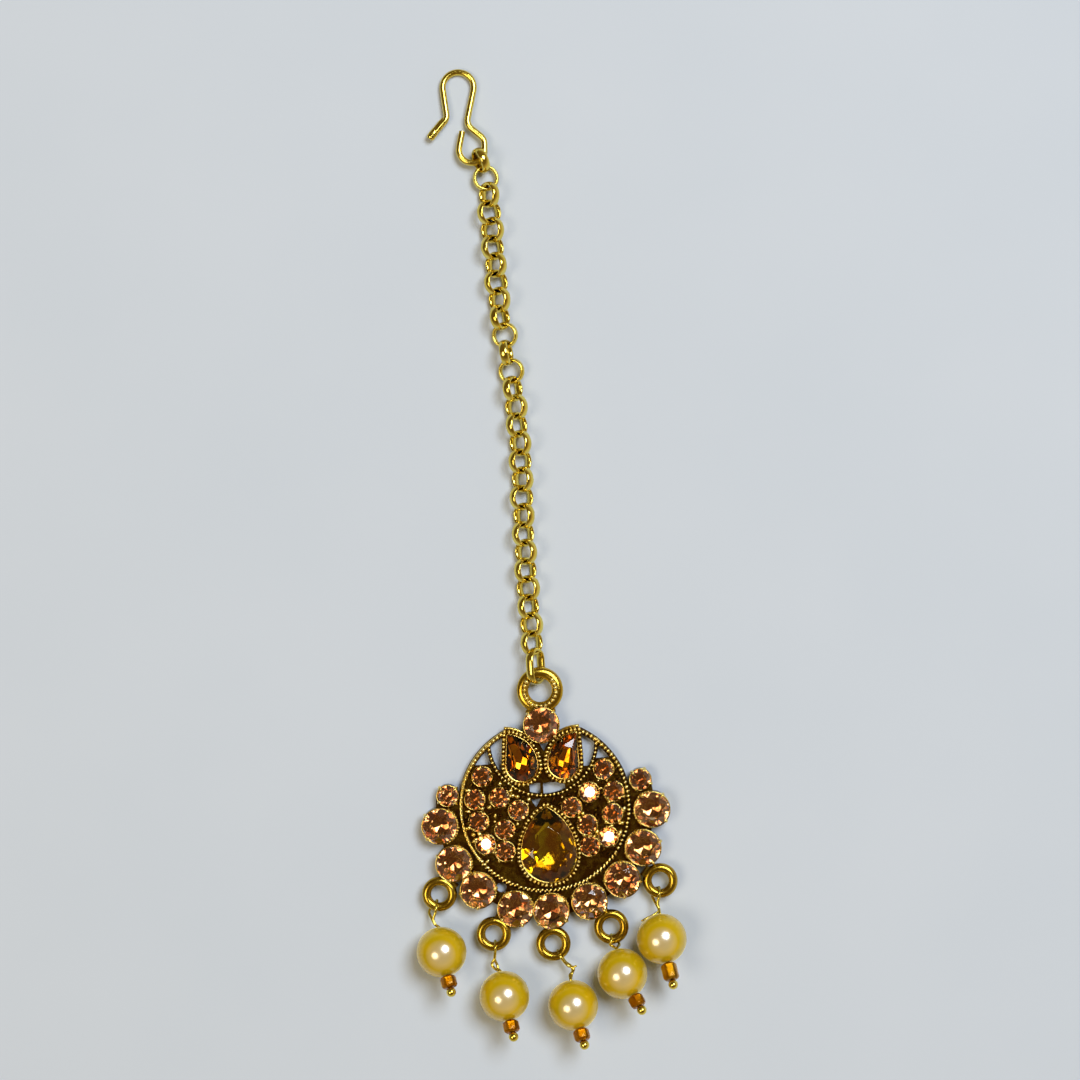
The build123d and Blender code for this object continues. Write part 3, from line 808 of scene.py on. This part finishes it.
def chain_links():
    """The middle links: broad rings at alternate slants, each with its soldered joint."""
    route = np.array(CHAIN_ROUTE)[::-1]
    spread = (0, 9, MIDDLE_LINKS - 1), (CHAIN_FIRST_Y, CHAIN_TENTH_Y, CHAIN_LAST_Y)
    shape = Shape()
    for k in range(MIDDLE_LINKS):
        number = k + 2
        side = 1 if number % 2 == 0 else -1
        y = np.interp(k, *spread)
        before, x, after = np.interp([y - 1, y, y + 1], route[:, 1], route[:, 0])
        slope = (after - before) / 2
        turn = LINK_TURNS.get(number, rng.uniform(-LINK_WANDER, LINK_WANDER))
        roll = radians(LINK_ROLL * side + turn)
        turned = Matrix.Rotation(-atan2(slope, 1), 3, "Z") @ Matrix.Rotation(roll, 3, "Y")
        link(shape, [x - LINK_SWAY * side, y, link_rise(roll)], turned)
    shape.piece("chain_middle_links", [CHAIN_GOLD], "chain_gold", ["chain"])


def link_rise(roll):
    """How high a rolled link's middle is when its lower edge rests on the floor."""
    edge = hypot(LINK_THICK * sin(roll), LINK_BROAD * cos(roll))
    return LINK_R * abs(sin(roll)) + edge + 0.01


def link(shape, place, turned, stretch=0.0):
    """One ring of broad wire, swollen at its soldered joint, with a fine seam; a stretched one has
    straight sides."""
    ring = circle(LINK_R, steps=LINK_STEPS, start=LINK_START)
    ring[:, 1] += np.sign(ring[:, 1]) * stretch
    seam = radians(rng.uniform(0, 360))
    away = np.abs((np.arange(LINK_STEPS) / LINK_STEPS * 2 * pi - seam + pi) % (2 * pi) - pi)
    swelling = 0.1 * np.exp(-(away / 0.14) ** 2) - 0.05 * np.exp(-(away / 0.04) ** 2)
    points, faces = tube(ring, LINK_THICK * (1 + swelling), closed=True, sides=16,
                         squash=LINK_BROAD / LINK_THICK)
    shape.add(points @ np.array(turned).T + place, faces, tone=rng.uniform(0, 1))


def end_links():
    """The link in the hook's eye and the slightly long one in the pendant's hanging ring."""
    x, y, _ = middle("chain_link_hook")
    roll = radians(HOOK_LINK_ROLL)
    heading = Matrix.Rotation(radians(HOOK_LINK_HEADING), 3, "Z")
    shape = Shape()
    link(shape, [x, y, link_rise(roll)], heading @ Matrix.Rotation(roll, 3, "Y"))
    shape.piece("hook_end_link", [CHAIN_GOLD], "chain_gold", ["chain_link_hook"])
    x, y, _ = middle("chain_link_pendant")
    low, high = box("chain_link_pendant")
    stretch = (high[1] - low[1]) / 2 - LINK_R - LINK_THICK
    roll = radians(PENDANT_LINK_ROLL)
    shape = Shape()
    link(shape, [x, y, link_rise(roll)], Matrix.Rotation(roll, 3, "Y"), stretch)
    shape.piece("pendant_end_link", [CHAIN_GOLD], "chain_gold", ["chain_link_pendant"])


# x and y of the flattened tip's line, and half its width there
HOOK_TIP = ((-7.05, 83.3), (-7.45, 82.75), (-7.95, 82.2), (-8.4, 81.65), (-8.8, 81.15),
            (-8.95, 80.95))
HOOK_TIP_HALF = (0.30, 0.44, 0.42, 0.52, 0.50, 0.36)
HOOK_TIP_TALL = 0.78               # its height, as a share of its width
HOOK_LOW_Y, HOOK_LOW_Z, HOOK_SLOPE = 88.96, 0.38, 0.0617   # the hook climbs towards its tip


def hook_tip():
    """The hook's cut tip, hammered flat and nibbled."""
    path = smooth([(x, y, HOOK_LOW_Z + (HOOK_LOW_Y - y) * HOOK_SLOPE) for x, y in HOOK_TIP], 6)
    last = len(HOOK_TIP_HALF) - 1
    half = np.interp(np.linspace(0, last, len(path)), range(last + 1), HOOK_TIP_HALF)
    shape = Shape()
    shape.add(*tube(path, half, squash=HOOK_TIP_TALL, sides=20))
    shape.piece("hook_flat_tip", [CHAIN_GOLD], "chain_gold")


# ---- drops ------------------------------------------------------------------------------------
STRAND_R = 0.17
BALL_R, BALL_SEAT = 0.58, 0.56     # ball at a drop wire's end, and how far it is from the bead
PEARL_HOLE_R = 0.26
SEED_R, SEED_ROUND, SEED_HOLE_R = 0.94, 0.42, 0.3   # a seed bead's radius, its rounding, its hole
SEED_HALF = {5: 1.04}              # half its length: the fifth is a longer bead than the others
USUAL_SEED_HALF = 0.73
SEED_ROOM = {3: 1.35, 5: 2.1}      # what each takes up along its wire
USUAL_SEED_ROOM = 1.4
FLUTES, FLUTE_DEPTH, FLUTE_TWIST = 6, 0.035, 0.8
LINING_R = (0.76, 0.6, 0.27)       # its lining's radius: at the wall, past the bevel, at the hole
STRANDS = {   # each drop's strand over its loop's wire, the one under it, and the pearl's mouth
    1: ([(-13.6, -10.4, 1.3), (-13.7, -11.1, 2.25), (-13.9, -11.8, 2.2), (-14.17, -12.55, 2.1),
         (-13.98, -13.15, 2.2)],
        [(-13.6, -10.4, 1.3), (-14.1, -10.9, 0.72), (-14.66, -11.75, 0.9), (-14.35, -12.6, 1.5),
         (-14.0, -13.2, 1.9)], (-13.5, -13.56)),
    2: ([(-6.95, -15.7, 1.2), (-6.95, -16.3, 2.25), (-7.02, -17.0, 2.1), (-7.15, -17.75, 1.9),
         (-7.5, -18.4, 1.9), (-7.1, -18.95, 2.1)],
        [(-6.95, -15.7, 1.2), (-6.9, -16.35, 0.75), (-7.05, -17.1, 1.2), (-7.13, -17.8, 1.7),
         (-6.86, -18.5, 2.0), (-6.78, -18.95, 2.15)], (-6.5, -19.2)),
    3: ([(0.45, -17.3, 1.2), (0.72, -17.83, 2.25), (1.15, -18.55, 2.1), (1.60, -19.09, 2.0),
         (2.24, -19.45, 2.1), (1.98, -20.1, 2.2)],
        [(0.45, -17.3, 1.2), (0.8, -17.9, 0.75), (1.3, -18.7, 1.2), (1.95, -19.2, 1.8),
         (2.1, -19.8, 2.0), (1.75, -20.2, 2.2)], (1.80, -20.7)),
    4: ([(7.0, -15.8, 1.2), (6.95, -16.35, 2.2), (6.8, -16.85, 2.1), (7.1, -17.1, 2.1)],
        [(7.3, -15.8, 1.2), (7.6, -16.4, 0.75), (7.9, -17.0, 1.4), (7.75, -17.15, 1.8)],
        (7.52, -17.32)),
    5: ([(13.1, -10.5, 1.3), (13.04, -11.0, 2.25), (12.95, -11.6, 2.2), (12.78, -12.2, 2.1),
         (12.86, -12.85, 2.15)],
        [(13.1, -10.5, 1.3), (12.5, -10.7, 0.8), (12.17, -11.4, 1.0), (12.64, -12.5, 1.6),
         (12.82, -12.9, 1.9)], (12.92, -13.45)),
}
TAILS = {    # what is left of a wire's cut end
    3: [(1.9, -19.2, 2.0), (2.25, -19.22, 2.2), (2.62, -19.12, 2.35)],
    5: [(12.9, -13.2, 2.1), (12.15, -13.62, 2.25), (11.35, -13.93, 2.4), (10.67, -14.23, 2.5)],
}


def drop_wire(number, mouth, pearl, seed, tail):
    """The wire of one drop: two strands round the loop's wire, twisted together above the pearl,
    then one strand through pearl and seed bead to the ball at its end."""
    over, under, _ = STRANDS[number]
    ball = seed + tail * (SEED_ROOM.get(number, USUAL_SEED_ROOM) / 2 + BALL_SEAT)
    inside_pearl = smooth([mouth, pearl * 0.5 + mouth * 0.5, pearl, seed, ball])
    shape = Shape()
    for strand in (over, under):
        path = np.vstack([smooth(strand + [tuple(mouth)]), inside_pearl[1:]])
        shape.add(*tube(path, STRAND_R, up=(0.31, 0.17, 0.93)), tone=rng.uniform(0, 1))
    if number in TAILS:
        path = smooth(TAILS[number])
        shape.add(*tube(path, np.linspace(0.15, 0.11, len(path))), tone=0.1)
    points, faces = FINE_BALL
    shape.add(points * BALL_R + ball, faces)
    shape.piece(f"bent_wire_{number}", [WIRE_GOLD], "wire_gold", [f"drop_wire_{number}"])


def drops():
    """The five drops, each threaded along the line of its wire."""
    for number in STRANDS:
        pearl = middle(f"pearl_{number}")
        seed = middle(f"seed_bead_{number}")
        low, high = box(f"pearl_{number}")
        radius = (high[2] - low[2]) / 2
        off = np.array(STRANDS[number][2]) - pearl[:2]
        depth = sqrt(max(radius**2 - off @ off, 0.1))
        mouth = pearl + [*off, -depth]
        head, tail = pearl - mouth, seed - pearl
        head, tail = head / np.linalg.norm(head), tail / np.linalg.norm(tail)
        pearl_bead(number, pearl, radius, head, tail)
        seed_bead(number, seed, tail)
        drop_wire(number, mouth, pearl, seed, tail)


def pearl_profile(radius, hole):
    """A sphere's profile whose two ends turn in, over a rounded lip, to the drilled hole."""
    start = hole * 1.35 / radius
    sweep = np.linspace(start, pi - start, 72)
    skin = np.stack([radius * np.sin(sweep), -radius * np.cos(sweep)], -1)
    lip = radius * cos(start)
    foot = [(hole, -lip + 0.5), (hole, -lip + 0.12), (hole * 1.08, -lip + 0.03)]
    return np.array(foot + skin.tolist() + [(r, -z) for r, z in reversed(foot)])


def pearl_bead(number, place, radius, head, tail):
    """A pearl whose drilled hole bends from the wire's way in, head, to its way out, tail."""
    axis = head + tail
    axis /= np.linalg.norm(axis)
    side = np.cross(head, tail)
    bend = np.arcsin(min(1.0, np.linalg.norm(side)))
    side = side / max(np.linalg.norm(side), 1e-9)
    points, faces = lathe(pearl_profile(radius * 0.998, PEARL_HOLE_R), 96)
    turned = []
    for point in points @ turn_to(axis).T:
        share = float(point @ axis) / radius / 2
        turned.append(np.array(Matrix.Rotation(bend * share, 3, Vector(side))) @ point)
    shape = Shape()
    shape.add(np.array(turned) + place, faces, tone=rng.uniform(0, 1))
    shape.piece(f"pearl_bead_{number}", [PEARL], "pearl", [f"pearl_{number}"])


def seed_bead(number, place, axis):
    """A short, faintly fluted barrel of glass over a six-sided golden lining."""
    half = SEED_HALF.get(number, USUAL_SEED_HALF)
    around = np.linspace(-pi / 2, pi / 2, 14)
    across = SEED_R - SEED_ROUND + SEED_ROUND * np.cos(around)
    along = (half - SEED_ROUND) * np.sign(around) + SEED_ROUND * np.sin(around)
    mouth = half - 0.02
    profile = [(SEED_HOLE_R, -mouth), *zip(across, along), (SEED_HOLE_R, mouth)]
    points, faces = lathe(profile, 40)
    angle = np.arctan2(points[:, 1], points[:, 0])
    flutes = 1 + FLUTE_DEPTH * np.cos(FLUTES * angle + points[:, 2] * FLUTE_TWIST)
    points[:, :2] *= flutes[:, None]
    turn = turn_to(axis)
    glass, lining = Shape(), Shape()
    glass.add(points @ turn.T + place, faces)
    look = LONG_SEED_GLASS if number == 5 else SEED_GLASS
    glass.piece(f"seed_glass_{number}", [look], "seed_glass", [f"seed_bead_{number}"])
    end, shoulder = half - 0.12, half - 0.27
    upper = list(zip(LINING_R, (shoulder, end, end)))
    wall = [(r, -z) for r, z in reversed(upper)] + upper
    points, faces = lathe(wall, FLUTES)
    lining.add(points @ turn.T + place, faces)
    lining.piece(f"seed_lining_{number}", [LINING_GOLD], "seed_glass", smooth=False)


# ---- CAD nodes that stay in view --------------------------------------------------------------
def finish_cad_nodes():
    """Gives the casting and the hook their materials."""
    for name, material in (("pendant_casting", CASTING_GOLD), ("hair_hook", CHAIN_GOLD)):
        node = frame["nodes"][name]
        node.data.materials.clear()
        node.data.materials.append(material)


# ---- stage ------------------------------------------------------------------------------------
VIEW_CENTER = (1.36, 32.02, 1.5)   # middle of the picture, in millimetres
VIEW_WIDTH = 129.6                 # what the picture takes in, in millimetres
VIEW_HEIGHT = 330.0
VIEW_TURN = -3.5                   # the camera's turn about the vertical, in degrees
SENSOR = 36.0
LIT_PLACE = (0.6, -20.0, 3.0)      # among the pearls, in millimetres
LAMP_AWAY, LAMP_SPREAD = 1.0, 28   # in metres, and in degrees seen from there
FLOOR_HALF = 2.5                   # in metres
PALE_SIDE = (0.87, -0.5, 0.0)      # the room is paler that way


def camera():
    """Looks straight down at the middle of the picture."""
    data = bpy.data.cameras.new("camera")
    data.sensor_width = SENSOR
    data.lens = SENSOR * VIEW_HEIGHT / VIEW_WIDTH
    data.clip_start, data.clip_end = 0.01, 20.0
    made = placed("camera", data)
    made.location = (Vector(VIEW_CENTER) + Vector((0, 0, VIEW_HEIGHT))) * MM
    made.rotation_euler = (0, 0, radians(VIEW_TURN))
    bpy.context.scene.camera = made


def lamp(name, azimuth, off_vertical, power, colour):
    """Round soft light that faces the pearls, at an azimuth from the picture's right."""
    way = radians(azimuth + VIEW_TURN)
    tilt = radians(off_vertical)
    away = LAMP_AWAY * Vector((sin(tilt) * cos(way), sin(tilt) * sin(way), cos(tilt)))
    data = bpy.data.lights.new(name, "AREA")
    data.shape = "DISK"
    data.size = 2 * LAMP_AWAY * tan(radians(LAMP_SPREAD / 2))
    data.energy = power
    data.color = colour
    made = placed(name, data)
    made.location = Vector(LIT_PLACE) * MM + away
    made.rotation_euler = (-away).to_track_quat("-Z", "Y").to_euler()


def world():
    """A dim, warm room: dark overhead and to the picture's upper left, paler low on the right."""
    made = bpy.data.worlds.new("studio")
    made.use_nodes = True
    tree = made.node_tree
    way = add(tree, "TexCoord").outputs["Generated"]
    side = add(tree, "VectorMath", dict(operation="DOT_PRODUCT"), Vector=way)
    side.inputs[1].default_value = PALE_SIDE
    pale = levels(tree, side.outputs["Value"], -0.8, 0.8)
    low = blend(tree, pale, (0.12, 0.10, 0.07), (0.74, 0.62, 0.44))
    up = levels(tree, add(tree, "SeparateXYZ", Vector=way).outputs["Z"], 0.0, 0.7)
    feed(tree, tree.nodes["Background"], Color=blend(tree, up, low, (0.145, 0.094, 0.030)))
    bpy.context.scene.world = made


def floor():
    """The board that the ornament lies on."""
    data = bpy.data.meshes.new("floor")
    ways = ((-1, -1), (1, -1), (1, 1), (-1, 1))
    data.from_pydata([(FLOOR_HALF * x, FLOOR_HALF * y, 0) for x, y in ways], [], [range(4)])
    data.materials.append(floor_material())
    placed("floor", data)


camera()
world()
floor()
lamp("key_light", azimuth=51, off_vertical=30, power=6.8, colour=(0.94, 1.0, 1.07))
lamp("fill_light", azimuth=197, off_vertical=31, power=3.0, colour=(1.0, 0.87, 0.66))
bpy.context.scene.view_settings.view_transform = "Standard"

finish_cad_nodes()
round_stones()
pear_stones()
frame_beads()
bezel_beads()
ring_beads()
rims_and_claws()
granules()
chain_links()
end_links()
hook_tip()
drops()
